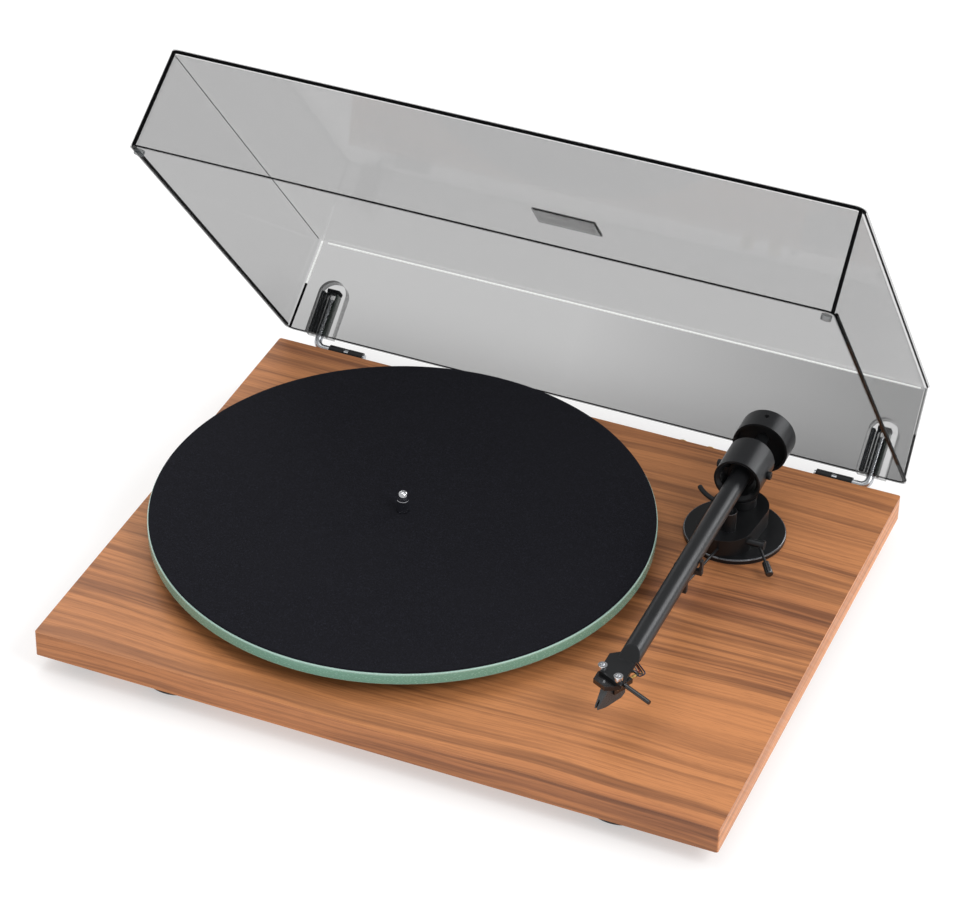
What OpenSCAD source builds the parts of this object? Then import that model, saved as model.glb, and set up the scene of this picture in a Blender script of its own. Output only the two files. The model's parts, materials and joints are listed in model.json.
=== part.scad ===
// Belt-drive record player with a hinged dust cover, in millimetres.
// X runs to the right, Y to the rear, Z up; the origin is on the floor under the middle of
// the whole player with its lid open.

/* [Plinth] */
// Width of the wooden plinth
plinth_w = 415; // [380:1:500]
// Depth of the wooden plinth
plinth_d = 327.2; // [300:0.1:390]
// Thickness of the wooden plinth
plinth_t = 16.5; // [14:0.5:24]
// Rounding of the plinth's upright edges
edge_r = 1.5; // [0.5:0.1:4]
// Height of each rubber foot
foot_h = 11.5; // [8:0.5:16]
// Diameter of each rubber foot
foot_d = 45; // [34:1:56]
// Left feet, distance from the plinth's centre
foot_xl = 130.4; // [110:0.1:150]
// Right feet, distance from the plinth's centre
foot_xr = 141.7; // [120:0.1:150]
// Feet, distance in front of and behind the centre
foot_y = 132.5; // [110:0.5:134]

/* [Platter] */
// Diameter of the glass platter
platter_d = 301.3; // [280:0.1:304]
// Thickness of the glass platter
glass_t = 7.5; // [6:0.1:12]
// Thickness of the felt mat
mat_t = 0.8; // [0.6:0.1:3]
// Gap between the plinth and the glass
platter_gap = 9.7; // [9.5:0.1:16]
// Spindle position, left of the centre
spindle_x = -52.1; // [-70:0.1:-30]
// Spindle position, behind the centre
spindle_y = 5.7; // [-10:0.1:20]
// Diameter of the spindle
spindle_d = 7.2; // [7:0.02:7.3]
// Height of the spindle above the mat
spindle_h = 14; // [10:0.5:18]
// Diameter of the belt's land on the sub-platter
sub_d = 130; // [110:1:160]
// Diameter of the motor pulley
pulley_d = 14; // [10:0.5:20]
// Distance from the spindle to the motor
motor_dist = 99; // [92:1:115]
// Direction from the spindle to the motor, in degrees
motor_dir = 135; // [120:1:150]
// Diameter of the motor's can
motor_d = 36; // [28:1:40]

/* [Tonearm] */
// Pivot position, right of the centre
pivot_x = 127.5; // [120:0.1:140]
// Pivot position, behind the centre
pivot_y = 98.7; // [85:0.1:105]
// Height of the arm tube's axis above the plinth
arm_z = 39.5; // [36:0.1:48]
// Diameter of the arm tube
tube_d = 12; // [9:0.1:14]
// Length from the pivot to the middle of the tube's sloping end
tube_len = 193; // [160:0.1:200]
// Diameter of the base disc
base_d = 61.5; // [54:0.1:70]
// Thickness of the base disc
base_t = 3.2; // [2:0.1:6]
// Height of the raised block on the base disc
block_h = 11.8; // [9:0.1:14]
// Radius of the raised block's round ends
block_r = 17; // [14:0.1:20]
// Diameter of the bearing barrel
barrel_d = 28.8; // [24:0.1:32]
// Length of the bearing barrel
barrel_len = 26; // [20:0.5:32]
// Diameter of the counterweight
weight_d = 34.4; // [28:0.2:40]
// Length of the counterweight
weight_len = 16; // [12:0.5:24]
// Drop of the counterweight's centre below the tube
weight_drop = 3.4; // [0:0.1:5]
// Angle of the headshell's screws
offset_deg = 26.4; // [20:0.1:28]
// Distance between the cartridge screws
cart_pitch = 12.7; // [12.6:0.05:12.8]

/* [Dust cover] */
// Width of the dust cover at its rim
lid_w = 416; // [380:1:500]
// Depth of the dust cover at its rim
lid_d = 318.4; // [300:0.1:370]
// Height of the dust cover
lid_h = 61.6; // [58:0.1:80]
// Thickness of the dust cover's walls
lid_t = 2.4; // [2:0.1:2.8]
// Opening angle of the dust cover
lid_open = 51.06; // [0:0.01:60]
// Diameter of the hinge rods
rod_d = 5; // [4:0.1:6]
// Hinge rods, distance from the centre
rod_x = 184.8; // [170:0.1:190]

/* [Shown] */
// Which piece to draw

/* [Hidden] */
$fn = 96;
e = 0.01;
run = 0.05;
top_z = foot_h + plinth_t;
glass_z = top_z + platter_gap;
mat_z = glass_z + glass_t;
play_z = mat_z + mat_t;
spin_r = spindle_d / 2;
shaft_r = 5;
hub_r = spin_r + 0.6;
sub_r = sub_d / 2;
sub_z = top_z + 3.5;
belt_w = 4;
belt_t = 0.6;
belt_gap = 0.3;
belt_z = glass_z - 5.6;
pul_r = pulley_d / 2;
motor_x = spindle_x + motor_dist * cos(motor_dir);
motor_y = spindle_y + motor_dist * sin(motor_dir);
motor_r = motor_d / 2;
plate_t = 1.5;
cover_t = 1.5;
screw_r = 1.5;
screw_head_r = 2.8;
screw_head_h = 1.6;
board_w = 32;
board_l = 80;
board_x = -plinth_w / 2 + 29.5;
board_y = 105;
pocket_h = plinth_t - 5;
panel_z = foot_h + 6.6;
jack_z = panel_z - 1.9;
disc_x = pivot_x + 0.2;
disc_y = pivot_y - 11.4;
block_z = top_z + base_t;
block_top = block_z + block_h;
axis_z = top_z + arm_z;
tube_r = tube_d / 2;
barrel_r = barrel_d / 2;
barrel_in = barrel_r - 3.1;
barrel_front = pivot_y - barrel_len / 2 - 0.5;
bar_r = 1.5;
bar_z = axis_z - tube_r - 0.4 - bar_r;
bar_arc = 27.2;
lever_y = pivot_y - 28.2;
lever_z = top_z + 10;
lever_x = pivot_x + 21.2;
weight_y = pivot_y + 28.4;
weight_r = weight_d / 2;
weight_z = axis_z - weight_drop;
wrod_r = 4;
tube_in = tube_r - 0.5;
yoke_r = tube_r + 2.4;
end_slope = 42;
shell_t = 2.2;
flange_t = 3;
cart_h = 8.6;
cart_hw = 5;
shell_z = axis_z - 2.6;
shell_x = pivot_x - 4.6;
shell_y = pivot_y - tube_len - 16.1;
hinge_y = plinth_d / 2 + 5.9;
hinge_z = top_z - 4.3;
rim_z = 7.2;
rod_up = 27;
sleeve_r = rod_d / 2 + 1;
sleeve_len = 23;
sleeve_x = rod_x - 21.2;
hinge_screw_z = top_z - 11.4;
socket_w = 18.4;
socket_h = 37;
socket_out = 4;
socket_in = 5;
lid_r = 6;
lid_draft = 2.7;
lid_back = hinge_y + (rim_z + lid_h) * sin(lid_open) - lid_draft * cos(lid_open);
shift_y = (plinth_d / 2 - lid_back) / 2;

// Moves the plinth's own frame so that the origin lies under the middle of the whole player.
module placed() {
  translate([0, shift_y, 0]) children();
}

// A pan-head screw whose head sits on z = 0 and whose shank goes down.
module pan_screw(len = 6) {
  cylinder(r = screw_head_r, h = screw_head_h);
  translate([0, 0, -len]) cylinder(r = screw_r, h = len + e);
}

module rounded_slab(w, d, t, r) {
  translate([-w / 2 + r, -d / 2, 0]) cube([w - 2 * r, d, t]);
  translate([-w / 2, -d / 2 + r, 0]) cube([w, d - 2 * r, t]);
  for (sx = [-1, 1], sy = [-1, 1])
    translate([sx * (w / 2 - r), sy * (d / 2 - r), 0]) cylinder(r = r, h = t);
}

// Places where the chassis screws go in: position and rotation.
cover_pts = [[board_x - 18, 55], [board_x - 18, 151], [board_x + 20, 151], [motor_x + 19, 55]];
bear_pts = [0, 120, 240];
plate_pts = [30, 150, 270];
panel_pts = [-30, 30];
hinge_pts = [-1, 1];

module chassis_screws() {
  color("#3A3A3C") {
    for (p = cover_pts)
      translate([p[0], p[1], foot_h - cover_t]) rotate([180, 0, 0]) pan_screw();
    for (a = bear_pts)
      translate([spindle_x, spindle_y, 0]) rotate([0, 0, a]) translate([12.6, 0, top_z + 0.7])
        pan_screw();
    for (a = plate_pts)
      translate([motor_x, motor_y, 0]) rotate([0, 0, a]) translate([22, 0, top_z + plate_t])
        pan_screw();
    for (sx = [-1, 1], sy = [-1, 1])
      translate([board_x + sx * (board_w / 2 - 4), board_y + sy * (board_l / 2 - 4), top_z - 9.6])
        rotate([180, 0, 0]) pan_screw();
    for (dx = panel_pts)
      translate([80 + dx, plinth_d / 2 + 1.5, panel_z]) rotate([-90, 0, 0])
        pan_screw();
    for (s = [-1, 1], dx = hinge_pts)
      translate([s * sleeve_x + dx * 6.5, plinth_d / 2 + 1.6, hinge_screw_z]) rotate([-90, 0, 0])
        pan_screw();
    for (a = [30, 150, 270])
      translate([disc_x, disc_y, 0]) rotate([0, 0, a]) translate([21, 0, top_z - 4])
        rotate([180, 0, 0]) pan_screw();
  }
}

module screw_holes() {
  for (p = cover_pts)
    translate([p[0], p[1], foot_h - 1]) cylinder(r = screw_r, h = 7.5);
  for (a = bear_pts)
    translate([spindle_x, spindle_y, 0]) rotate([0, 0, a]) translate([12.6, 0, top_z - 7.3])
      cylinder(r = screw_r, h = 8);
  for (a = plate_pts)
    translate([motor_x, motor_y, 0]) rotate([0, 0, a]) translate([22, 0, top_z - 6.5])
      cylinder(r = screw_r, h = 7);
  for (dx = panel_pts)
    translate([80 + dx, plinth_d / 2 - 6.5, panel_z]) rotate([-90, 0, 0])
      cylinder(r = screw_r, h = 7);
  for (s = [-1, 1], dx = hinge_pts)
    translate([s * sleeve_x + dx * 6.5, plinth_d / 2 - 6.4, hinge_screw_z]) rotate([-90, 0, 0])
      cylinder(r = screw_r, h = 7);
  for (a = [30, 150, 270])
    translate([disc_x, disc_y, 0]) rotate([0, 0, a]) translate([21, 0, foot_h - 1]) {
      cylinder(r = screw_r + 0.1, h = plinth_t + 2);
      cylinder(r = screw_head_r + 0.4, h = plinth_t - 3);
    }
  for (sx = [-1, 1], sy = [-1, 1])
    translate([board_x + sx * (board_w / 2 - 4), board_y + sy * (board_l / 2 - 4), top_z - 8])
      cylinder(r = screw_r, h = 5);
  for (x = [-foot_xl, foot_xr], s = [-1, 1])
    translate([x, s * foot_y, foot_h - 1]) cylinder(r = 2, h = 11);
}

module plinth() {
  color("#C08457") difference() {
    translate([0, 0, foot_h]) rounded_slab(plinth_w, plinth_d, plinth_t, edge_r);
    translate([spindle_x, spindle_y, foot_h - 1]) cylinder(r = 9.1, h = plinth_t + 2);
    translate([motor_x, motor_y, foot_h - 1]) cylinder(r = motor_r + 0.6, h = plinth_t + 2);
    difference() {
      translate([board_x - 20, board_y - board_l / 2 - 2, foot_h - 1])
        cube([40, board_l + 4, pocket_h + 1]);
      for (sx = [-1, 1], sy = [-1, 1])
        translate([board_x + sx * (board_w / 2 - 4), board_y + sy * (board_l / 2 - 4), top_z - 8])
          cylinder(r = 3.5, h = 8);
    }
    translate([disc_x, disc_y, foot_h - 1]) cylinder(r = 8, h = plinth_t + 2);
    translate([-plinth_w / 2 + 10.5, -plinth_d / 2 + 8, foot_h - 1]) cube([22, 14, 8.5]);
    translate([57, plinth_d / 2 - 16, foot_h + 1.2]) cube([46, 17, 10.6]);
    translate([-108, plinth_d / 2 - 16, foot_h + 3]) cube([16, 17, plinth_t - 6]);
    screw_holes();
  }
}

module bottom_cover() {
  x0 = board_x - 22;
  x1 = board_x + 24;
  x2 = motor_x + 24;
  color("#2A2A2C") difference() {
    translate([0, 0, foot_h - cover_t]) union() {
      translate([x0, 50, 0]) cube([x1 - x0, 106, cover_t]);
      translate([x1 - 1, 50, 0]) cube([x2 - x1 + 1, 52, cover_t]);
    }
    for (p = cover_pts)
      translate([p[0], p[1], foot_h - cover_t - 1]) cylinder(r = screw_r, h = cover_t + 2);
    for (i = [0:5])
      translate([motor_x - 13 + i * 5, motor_y - 9, foot_h - cover_t - 1]) cube([2, 18, cover_t + 2]);
  }
}

module foot(x, y) {
  r = foot_d / 2;
  color("#161617") translate([x, y, 0]) rotate_extrude()
    polygon([[5.2, 0], [r - 2.5, 0], [r - 1, 1], [r, 3], [r, foot_h - 4], [r - 1.2, foot_h - 3.4],
      [r - 1.2, foot_h - 2.6], [r - 0.6, foot_h - 2], [r - 0.6, foot_h], [2.6, foot_h],
      [2.6, foot_h - 4.5], [5.2, foot_h - 4.5]]);
}

module foot_screws() {
  color("#8C8C90") for (x = [-foot_xl, foot_xr], s = [-1, 1])
    translate([x, s * foot_y, 0]) difference() {
      union() {
        translate([0, 0, foot_h - 7]) cylinder(r = 4.6, h = 2.5);
        translate([0, 0, foot_h - 7]) cylinder(r = 2, h = 16);
      }
      translate([-0.5, -3.5, foot_h - 7 - e]) cube([1, 7, 1]);
      translate([-3.5, -0.5, foot_h - 7 - e]) cube([7, 1, 1]);
    }
}

module bearing_housing() {
  color("#B8A070") translate([spindle_x, spindle_y, 0]) difference() {
    union() {
      translate([0, 0, top_z]) cylinder(r = 17, h = 2.5);
      translate([0, 0, foot_h - 5.5]) cylinder(r = 9, h = plinth_t + 5.6);
    }
    translate([0, 0, foot_h - 2.7]) cylinder(r = shaft_r + run, h = plinth_t + 6);
    for (a = bear_pts)
      rotate([0, 0, a]) translate([12.6, 0, top_z - 1]) {
        cylinder(r = screw_r, h = 5);
        translate([0, 0, 1.7]) cylinder(r = screw_head_r + 0.1, h = 3);
      }
  }
}

module bearing_ball() {
  color("#D8D8DA") translate([spindle_x, spindle_y, foot_h - 2.7 + 2.4]) rotate_extrude()
    intersection() {
      circle(r = 2.4);
      translate([0, -3]) square([3, 6]);
    }
}

module spindle() {
  h = play_z + spindle_h;
  color("#D0D0D2") translate([spindle_x, spindle_y, 0]) rotate_extrude()
    polygon([[0, foot_h + 2.1], [shaft_r, foot_h + 2.1], [shaft_r, glass_z - 4], [hub_r, glass_z - 4],
      [hub_r, play_z], [spin_r, play_z],
      [spin_r, h - 5.5], [spin_r - 0.3, h - 3], [spin_r - 1.2, h - 0.7], [spin_r - 2.4, h], [0, h]]);
}

module sub_platter() {
  color("#26262A") translate([spindle_x, spindle_y, 0]) rotate_extrude()
    polygon([[shaft_r, sub_z], [12, sub_z], [12, glass_z - 3.4], [sub_r - 6, glass_z - 3.4],
      [sub_r - 6, sub_z], [sub_r + 1.2, sub_z], [sub_r + 1.2, sub_z + 0.6], [sub_r, sub_z + 0.6],
      [sub_r, glass_z], [sub_r - 12, glass_z], [sub_r - 12, glass_z - 1], [16, glass_z - 1],
      [16, glass_z], [hub_r + 0.02, glass_z], [hub_r + 0.02, glass_z - 4], [shaft_r, glass_z - 4]]);
}

module glass_platter() {
  r = platter_d / 2;
  color("#9CC4B4") translate([spindle_x, spindle_y, 0]) rotate_extrude()
    polygon([[hub_r + 0.1, glass_z], [r - 0.5, glass_z], [r, glass_z + 0.5], [r, mat_z - 0.5],
      [r - 0.5, mat_z], [hub_r + 0.1, mat_z]]);
}

module felt_mat() {
  color("#1E1F26") translate([spindle_x, spindle_y, mat_z]) difference() {
    cylinder(r = platter_d / 2 - 0.6, h = mat_t, $fn = 180);
    translate([0, 0, -1]) cylinder(r = hub_r + 0.2, h = mat_t + 2);
  }
}

// The belt runs round the sub-platter and the pulley, on both outer tangents.
module drive_belt() {
  ra = sub_r + belt_gap;
  rb = pul_r + belt_gap;
  lean = asin((ra - rb) / motor_dist);
  run_len = motor_dist * cos(lean);
  color("#101012") translate([spindle_x, spindle_y, belt_z]) rotate([0, 0, motor_dir]) {
    rotate([0, 0, 90 - lean]) rotate_extrude(angle = 180 + 2 * lean)
      translate([ra, 0]) square([belt_t, belt_w]);
    translate([motor_dist, 0, 0]) rotate([0, 0, -90 + lean]) rotate_extrude(angle = 180 - 2 * lean)
      translate([rb, 0]) square([belt_t, belt_w]);
    for (s = [-1, 1])
      rotate([0, 0, s * (90 - lean)]) translate([ra, s > 0 ? -run_len : 0, 0])
        cube([belt_t, run_len, belt_w]);
  }
}

module motor() {
  color("#9A9CA0") translate([motor_x, motor_y, 0]) difference() {
    union() {
      translate([0, 0, foot_h]) cylinder(r = motor_r, h = plinth_t);
      translate([0, 0, top_z - e]) cylinder(r = 4, h = 1.6);
    }
    translate([0, 0, foot_h + 2]) cylinder(r = 1.05, h = plinth_t + 4);
  }
}

module motor_plate() {
  color("#55575B") translate([motor_x, motor_y, top_z]) difference() {
    cylinder(r = 26, h = plate_t);
    translate([0, 0, -1]) cylinder(r = 4.3, h = plate_t + 2);
    for (a = plate_pts)
      rotate([0, 0, a]) translate([22, 0, -1]) cylinder(r = screw_r, h = plate_t + 2);
  }
}

module motor_shaft() {
  color("#C8C8CC") translate([motor_x, motor_y, foot_h + 2.2]) cylinder(r = 1, h = plinth_t + 6.6);
}

module motor_pulley() {
  z0 = belt_z - 1.3;
  color("#C9A45A") translate([motor_x, motor_y, 0]) rotate_extrude()
    polygon([[1, z0], [pul_r + 1.3, z0], [pul_r + 1.3, z0 + 0.7], [pul_r, z0 + 1],
      [pul_r, z0 + 5.6], [pul_r + 1.3, z0 + 5.9], [pul_r + 1.3, z0 + 6.4], [1, z0 + 6.4]]);
}

module control_board() {
  z = top_z - 9.6;
  color("#1F5A3A") difference() {
    union() {
      translate([board_x - board_w / 2, board_y - board_l / 2, z]) cube([board_w, board_l, 1.6]);
      for (i = [0:2])
        translate([board_x - 6 + i * 7, board_y - 10, z - 5]) cylinder(r = 2.5, h = 5.1);
      translate([board_x - 8, board_y + 4, z - 2]) cube([14, 8, 2.1]);
      translate([board_x - 9, board_y + 26, z - 4]) cube([16, 6, 4.1]);
    }
    for (sx = [-1, 1], sy = [-1, 1])
      translate([board_x + sx * (board_w / 2 - 4), board_y + sy * (board_l / 2 - 4), z - 1])
        cylinder(r = screw_r, h = 4);
  }
}

sw_x = -plinth_w / 2 + 21.5;
sw_y = -plinth_d / 2 + 15;

module switch_housing() {
  color("#202022") difference() {
    union() {
      translate([sw_x - 10.8, sw_y - 6.8, foot_h]) cube([21.6, 13.6, 7.2]);
      translate([sw_x - 13, sw_y - 9, foot_h - 1.2]) cube([26, 18, 1.21]);
    }
    translate([sw_x - 7.2, sw_y - 4.2, foot_h - 2]) cube([14.4, 8.4, 7]);
    translate([sw_x, sw_y - 6, foot_h + 1.6]) rotate([-90, 0, 0]) cylinder(r = 1.06, h = 12);
  }
}

module power_rocker() {
  color("#0E0E10") translate([sw_x, sw_y, foot_h + 1.6]) rotate([0, 7, 0]) {
    difference() {
      translate([-6.3, -3.8, -4.2]) cube([12.6, 7.6, 5.6]);
      translate([0, -5, -14.6]) rotate([-90, 0, 0]) cylinder(r = 11.6, h = 10);
    }
    translate([0, -5.6, 0]) rotate([-90, 0, 0]) cylinder(r = 1, h = 11.2);
  }
}

module terminal_panel() {
  color("#1A1A1C") translate([80, plinth_d / 2, panel_z]) difference() {
    translate([-35, 0, -6.5]) cube([70, 1.5, 13]);
    for (dx = [-30, 30]) translate([dx, -1, 0]) rotate([-90, 0, 0]) cylinder(r = screw_r, h = 4);
    for (dx = [-16, 2]) translate([dx, -1, jack_z - panel_z]) rotate([-90, 0, 0]) cylinder(r = 3.2, h = 4);
    translate([16, -1, 0]) rotate([-90, 0, 0]) cylinder(r = 2, h = 4);
  }
}

module phono_socket(x) {
  color("#C9A45A") translate([x, plinth_d / 2, jack_z]) rotate([-90, 0, 0])
    difference() {
      union() {
        translate([0, 0, -8]) cylinder(r = 3.2, h = 9.5);
        translate([0, 0, 1.5]) cylinder(r = 5.4, h = 1.4, $fn = 6);
        translate([0, 0, 2.8]) cylinder(r = 4.15, h = 8.2);
      }
      translate([0, 0, 3.5]) cylinder(r = 1.6, h = 10);
    }
}

module ground_post() {
  color("#D0D0D2") translate([96, plinth_d / 2, panel_z]) rotate([-90, 0, 0]) {
    translate([0, 0, -6]) cylinder(r = 2, h = 13);
    translate([0, 0, 1.5]) cylinder(r = 3.6, h = 1.2, $fn = 6);
    translate([0, 0, 3.4]) cylinder(r = 3.8, h = 3.4);
  }
}

module power_socket() {
  color("#1A1A1C") translate([-100, plinth_d / 2, foot_h + plinth_t / 2]) rotate([-90, 0, 0]) {
    difference() {
      union() {
        translate([-7, -5, -14]) cube([14, 10, 14]);
        translate([-9, -6.5, 0]) cube([18, 13, 1.5]);
      }
      translate([0, 0, -9]) cylinder(r = 2.8, h = 12);
    }
    translate([0, 0, -9.5]) cylinder(r = 1, h = 8.5);
  }
}

module hinge_bracket(s) {
  color("#1B1B1D") translate([s * sleeve_x, 0, 0]) difference() {
    union() {
      translate([-sleeve_len / 2, plinth_d / 2, top_z - 15.5]) cube([sleeve_len, 1.6, 14]);
      translate([-sleeve_len / 2, plinth_d / 2, hinge_z - 3.4]) cube([sleeve_len, 4.6, 2]);
      translate([-sleeve_len / 2, hinge_y, hinge_z]) rotate([0, 90, 0])
        cylinder(r = sleeve_r, h = sleeve_len);
    }
    translate([-sleeve_len, hinge_y, hinge_z]) rotate([0, 90, 0])
      cylinder(r = rod_d / 2 + run, h = 2 * sleeve_len);
    translate([-1.8, hinge_y - 3, hinge_z + sleeve_r - 1.3]) cube([3.6, 6, 3]);
    for (dx = hinge_pts)
      translate([dx * 6.5, plinth_d / 2 - 1, hinge_screw_z]) rotate([-90, 0, 0])
        cylinder(r = screw_r, h = 4);
  }
}

// The lid's own frame: origin on the hinge axis, lid closed, then swung open.
module lid_frame() {
  translate([0, hinge_y, hinge_z]) rotate([-lid_open, 0, 0]) children();
}

module hinge_rod(s) {
  bend = rod_d;
  color("#A8ABAF") lid_frame() mirror([s < 0 ? 1 : 0, 0, 0]) {
    translate([rod_x - 34, 0, 0]) rotate([0, 90, 0]) cylinder(r = rod_d / 2, h = 34 - bend);
    translate([rod_x - bend, 0, bend]) rotate([90, 0, 0]) rotate([0, 0, -90])
      rotate_extrude(angle = 90) translate([bend, 0]) circle(r = rod_d / 2);
    translate([rod_x, 0, bend]) cylinder(r = rod_d / 2, h = rod_up);
  }
}

module socket_shape() {
  r = socket_w / 2;
  depth = socket_in + socket_out;
  translate([rod_x - r, -socket_in, rim_z]) cube([socket_w, depth, socket_h - r]);
  translate([rod_x, socket_out, rim_z + socket_h - r]) rotate([90, 0, 0]) cylinder(r = r, h = depth);
}

module hinge_socket(s) {
  color("#C8CCD0") lid_frame() mirror([s < 0 ? 1 : 0, 0, 0]) difference() {
    socket_shape();
    translate([rod_x, 0, 0]) cylinder(r = rod_d / 2, h = rod_d + rod_up + 4);
  }
}

// The four rounded corners of the lid, at the rim and at the narrower top.
module lid_corners(inset, z0, z1) {
  for (sx = [-1, 1], rear = [0, 1]) {
    y = rear ? -lid_r : -lid_d + lid_r;
    lean = rear ? -lid_draft : lid_draft;
    translate([sx * (lid_w / 2 - lid_r), y, z0]) cylinder(r = lid_r - inset, h = 0.8, $fn = 48);
    translate([sx * (lid_w / 2 - lid_r - lid_draft), y + lean, z1 - 0.8])
      cylinder(r = lid_r - inset, h = 0.8, $fn = 48);
  }
}

module dust_cover() {
  color("#B9BCBA") lid_frame() difference() {
    hull() lid_corners(0, rim_z, rim_z + lid_h);
    hull() lid_corners(lid_t, rim_z - 0.9, rim_z + lid_h - lid_t);
    socket_shape();
    mirror([1, 0, 0]) socket_shape();
  }
}

module name_plate() {
  color("#C8CCD0") lid_frame() translate([-18.4, -lid_d + 143.6, rim_z + lid_h])
    cube([40, 21.9, 1.4]);
}

module lid_bumpers() {
  h = hinge_z + rim_z - top_z - 0.1;
  color("#D8DADC") lid_frame() for (sx = [-1, 1])
    translate([sx * (lid_w / 2 - lid_r), -lid_d + lid_r, rim_z - h]) cylinder(r = 3, h = h);
}

module arm_base() {
  r = base_d / 2;
  color("#242426") translate([disc_x, disc_y, 0]) difference() {
    rotate_extrude() polygon([[0, top_z], [r, top_z], [r, block_z - 0.5], [r - 0.5, block_z],
      [0, block_z]]);
    for (a = [30, 150, 270])
      rotate([0, 0, a]) translate([21, 0, top_z - 1]) cylinder(r = screw_r, h = 3);
  }
}

block_fx = pivot_x - 2.1;
block_fy = pivot_y - 24.1;
rest_x = block_fx + 1.8;
rest_y = block_fy - block_r + 4;
rest_z = top_z + 8;
rest_r = 0.8;
block_ry = pivot_y - 2;

module arm_block() {
  dx = pivot_x - block_fx;
  dy = block_ry - block_fy;
  color("#242426") difference() {
    translate([block_fx, block_fy, block_z]) rotate([0, 0, -atan2(dx, dy)]) {
      cylinder(r = block_r, h = block_h);
      translate([-block_r, 0, 0]) cube([2 * block_r, norm([dx, dy]), block_h]);
      translate([0, norm([dx, dy]), 0]) cylinder(r = block_r, h = block_h);
    }
    translate([lever_x - 14.5, lever_y, lever_z]) rotate([0, 90, 0])
      cylinder(r = 2.2 + run, h = 20);
    translate([rest_x, rest_y, rest_z]) rest_turn() cylinder(r = rest_r, h = 10);
  }
}

module rest_turn() {
  rotate([0, 0, -3.4]) rotate([80.7, 0, 0]) children();
}

module arm_post() {
  color("#1D1D1F") translate([pivot_x, pivot_y, 0]) difference() {
    translate([0, 0, block_top]) cylinder(r = 8.8, h = 6);
    translate([0, 0, block_top + 0.5]) cylinder(r = 3 + run, h = 7);
  }
}

lift_dx = bar_arc * cos(-88);
lift_dy = bar_arc * sin(-88);

module lift_column() {
  color("#3A3A3D") translate([pivot_x + lift_dx, pivot_y + lift_dy, 0]) difference() {
    translate([0, 0, block_top]) cylinder(r = 4.6, h = bar_z - bar_r - 2.2 - block_top);
    translate([0, 0, block_top + 2]) cylinder(r = 2 + run, h = 30);
  }
}

module lift_bar() {
  color("#2C2C2F") {
    translate([pivot_x, pivot_y, bar_z]) rotate([0, 0, -142]) rotate_extrude(angle = 58)
      translate([bar_arc, 0]) circle(r = bar_r, $fn = 32);
    translate([pivot_x + lift_dx, pivot_y + lift_dy, block_top + 5])
      cylinder(r = 2, h = bar_z - block_top - 5);
  }
}

lever_az = -55.4;
lever_dip = 8.9;

module lever_turn() {
  translate([lever_x - 0.5, lever_y, lever_z]) rotate([0, 0, lever_az]) rotate([0, 90 + lever_dip, 0])
    children();
}

module lift_lever() {
  color("#A8ABAF") {
    translate([lever_x - 12, lever_y, lever_z]) rotate([0, 90, 0]) cylinder(r = 2.2, h = 14);
    translate([lever_x + 2, lever_y, lever_z]) rotate([0, 90, 0]) cylinder(r = 2.9, h = 1.2);
    lever_turn() cylinder(r = 0.8, h = 15);
  }
}

module lift_knob() {
  color("#161617") lever_turn() translate([0, 0, 15]) rotate_extrude()
    polygon([[0, 0], [1.7, 0], [2.2, 0.6], [2.4, 7], [2.4, 9.4], [1.9, 10], [0, 10]]);
}

module armrest_rod() {
  color("#B8BABD") translate([rest_x, rest_y, rest_z]) rest_turn() cylinder(r = rest_r, h = 60);
}

cradle_y = pivot_y - 94.1;

module armrest_cradle() {
  x0 = pivot_x - tube_r - 3.2;
  x1 = pivot_x + tube_r + 0.4;
  z1 = axis_z - tube_r - 0.3;
  z0 = z1 - 3;
  color("#151517") difference() {
    translate([0, cradle_y - 1.5, 0]) {
      translate([x0, 0, z0]) cube([x1 - x0 + 1.5, 3, 3]);
      translate([x1, 0, z0]) cube([1.5, 3, 10]);
      translate([pivot_x - 6.8, 0, top_z + 14.6]) cube([6, 3, z0 - top_z - 14.5]);
    }
    translate([rest_x, rest_y, rest_z]) rest_turn() cylinder(r = rest_r, h = 70);
  }
}

module bearing_barrel() {
  color("#2E2F33") difference() {
    union() {
      translate([pivot_x, barrel_front, axis_z]) rotate([-90, 0, 0])
        cylinder(r = barrel_r, h = barrel_len);
      translate([pivot_x, pivot_y, block_top + 6.3]) cylinder(r = 7.6, h = axis_z - block_top - 12);
    }
    translate([pivot_x, barrel_front - 1, axis_z]) rotate([-90, 0, 0])
      cylinder(r = barrel_in, h = barrel_len + 2);
    translate([pivot_x, barrel_front, axis_z]) rotate([-90, 0, 0])
      cylinder(r1 = barrel_r - 1.2, r2 = barrel_in, h = 1.9);
    translate([pivot_x - 20, pivot_y, axis_z]) rotate([0, 90, 0]) cylinder(r = 1.6, h = 40);
  }
  color("#C8C8CC") translate([pivot_x, pivot_y, block_top + 1]) cylinder(r = 3, h = 5.4);
}

// Pointed screws on which the arm's yoke tilts.
module side_screws() {
  color("#1A1A1C") for (s = [-1, 1])
    translate([pivot_x, pivot_y, axis_z]) rotate([0, s * 90, 0]) difference() {
      rotate_extrude() polygon([[0, yoke_r - 0.5], [0.3, yoke_r - 0.5], [1.6, yoke_r + 1.5],
        [1.6, barrel_r], [2.5, barrel_r], [2.5, barrel_r + 2], [2.2, barrel_r + 2.4],
        [0, barrel_r + 2.4]]);
      translate([-0.4, -3, barrel_r + 1.6]) cube([0.8, 6, 2]);
    }
}

module pivot_block() {
  color("#17171A") translate([pivot_x, pivot_y, axis_z]) difference() {
    translate([0, -6, 0]) rotate([-90, 0, 0]) cylinder(r = yoke_r, h = 12);
    translate([0, -7, 0]) rotate([-90, 0, 0]) cylinder(r = tube_r, h = 14);
    for (s = [-1, 1]) rotate([0, s * 90, 0]) translate([0, 0, yoke_r - 1.1])
      cylinder(r1 = 0.4, r2 = 2.6, h = 2.2);
  }
}

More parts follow.
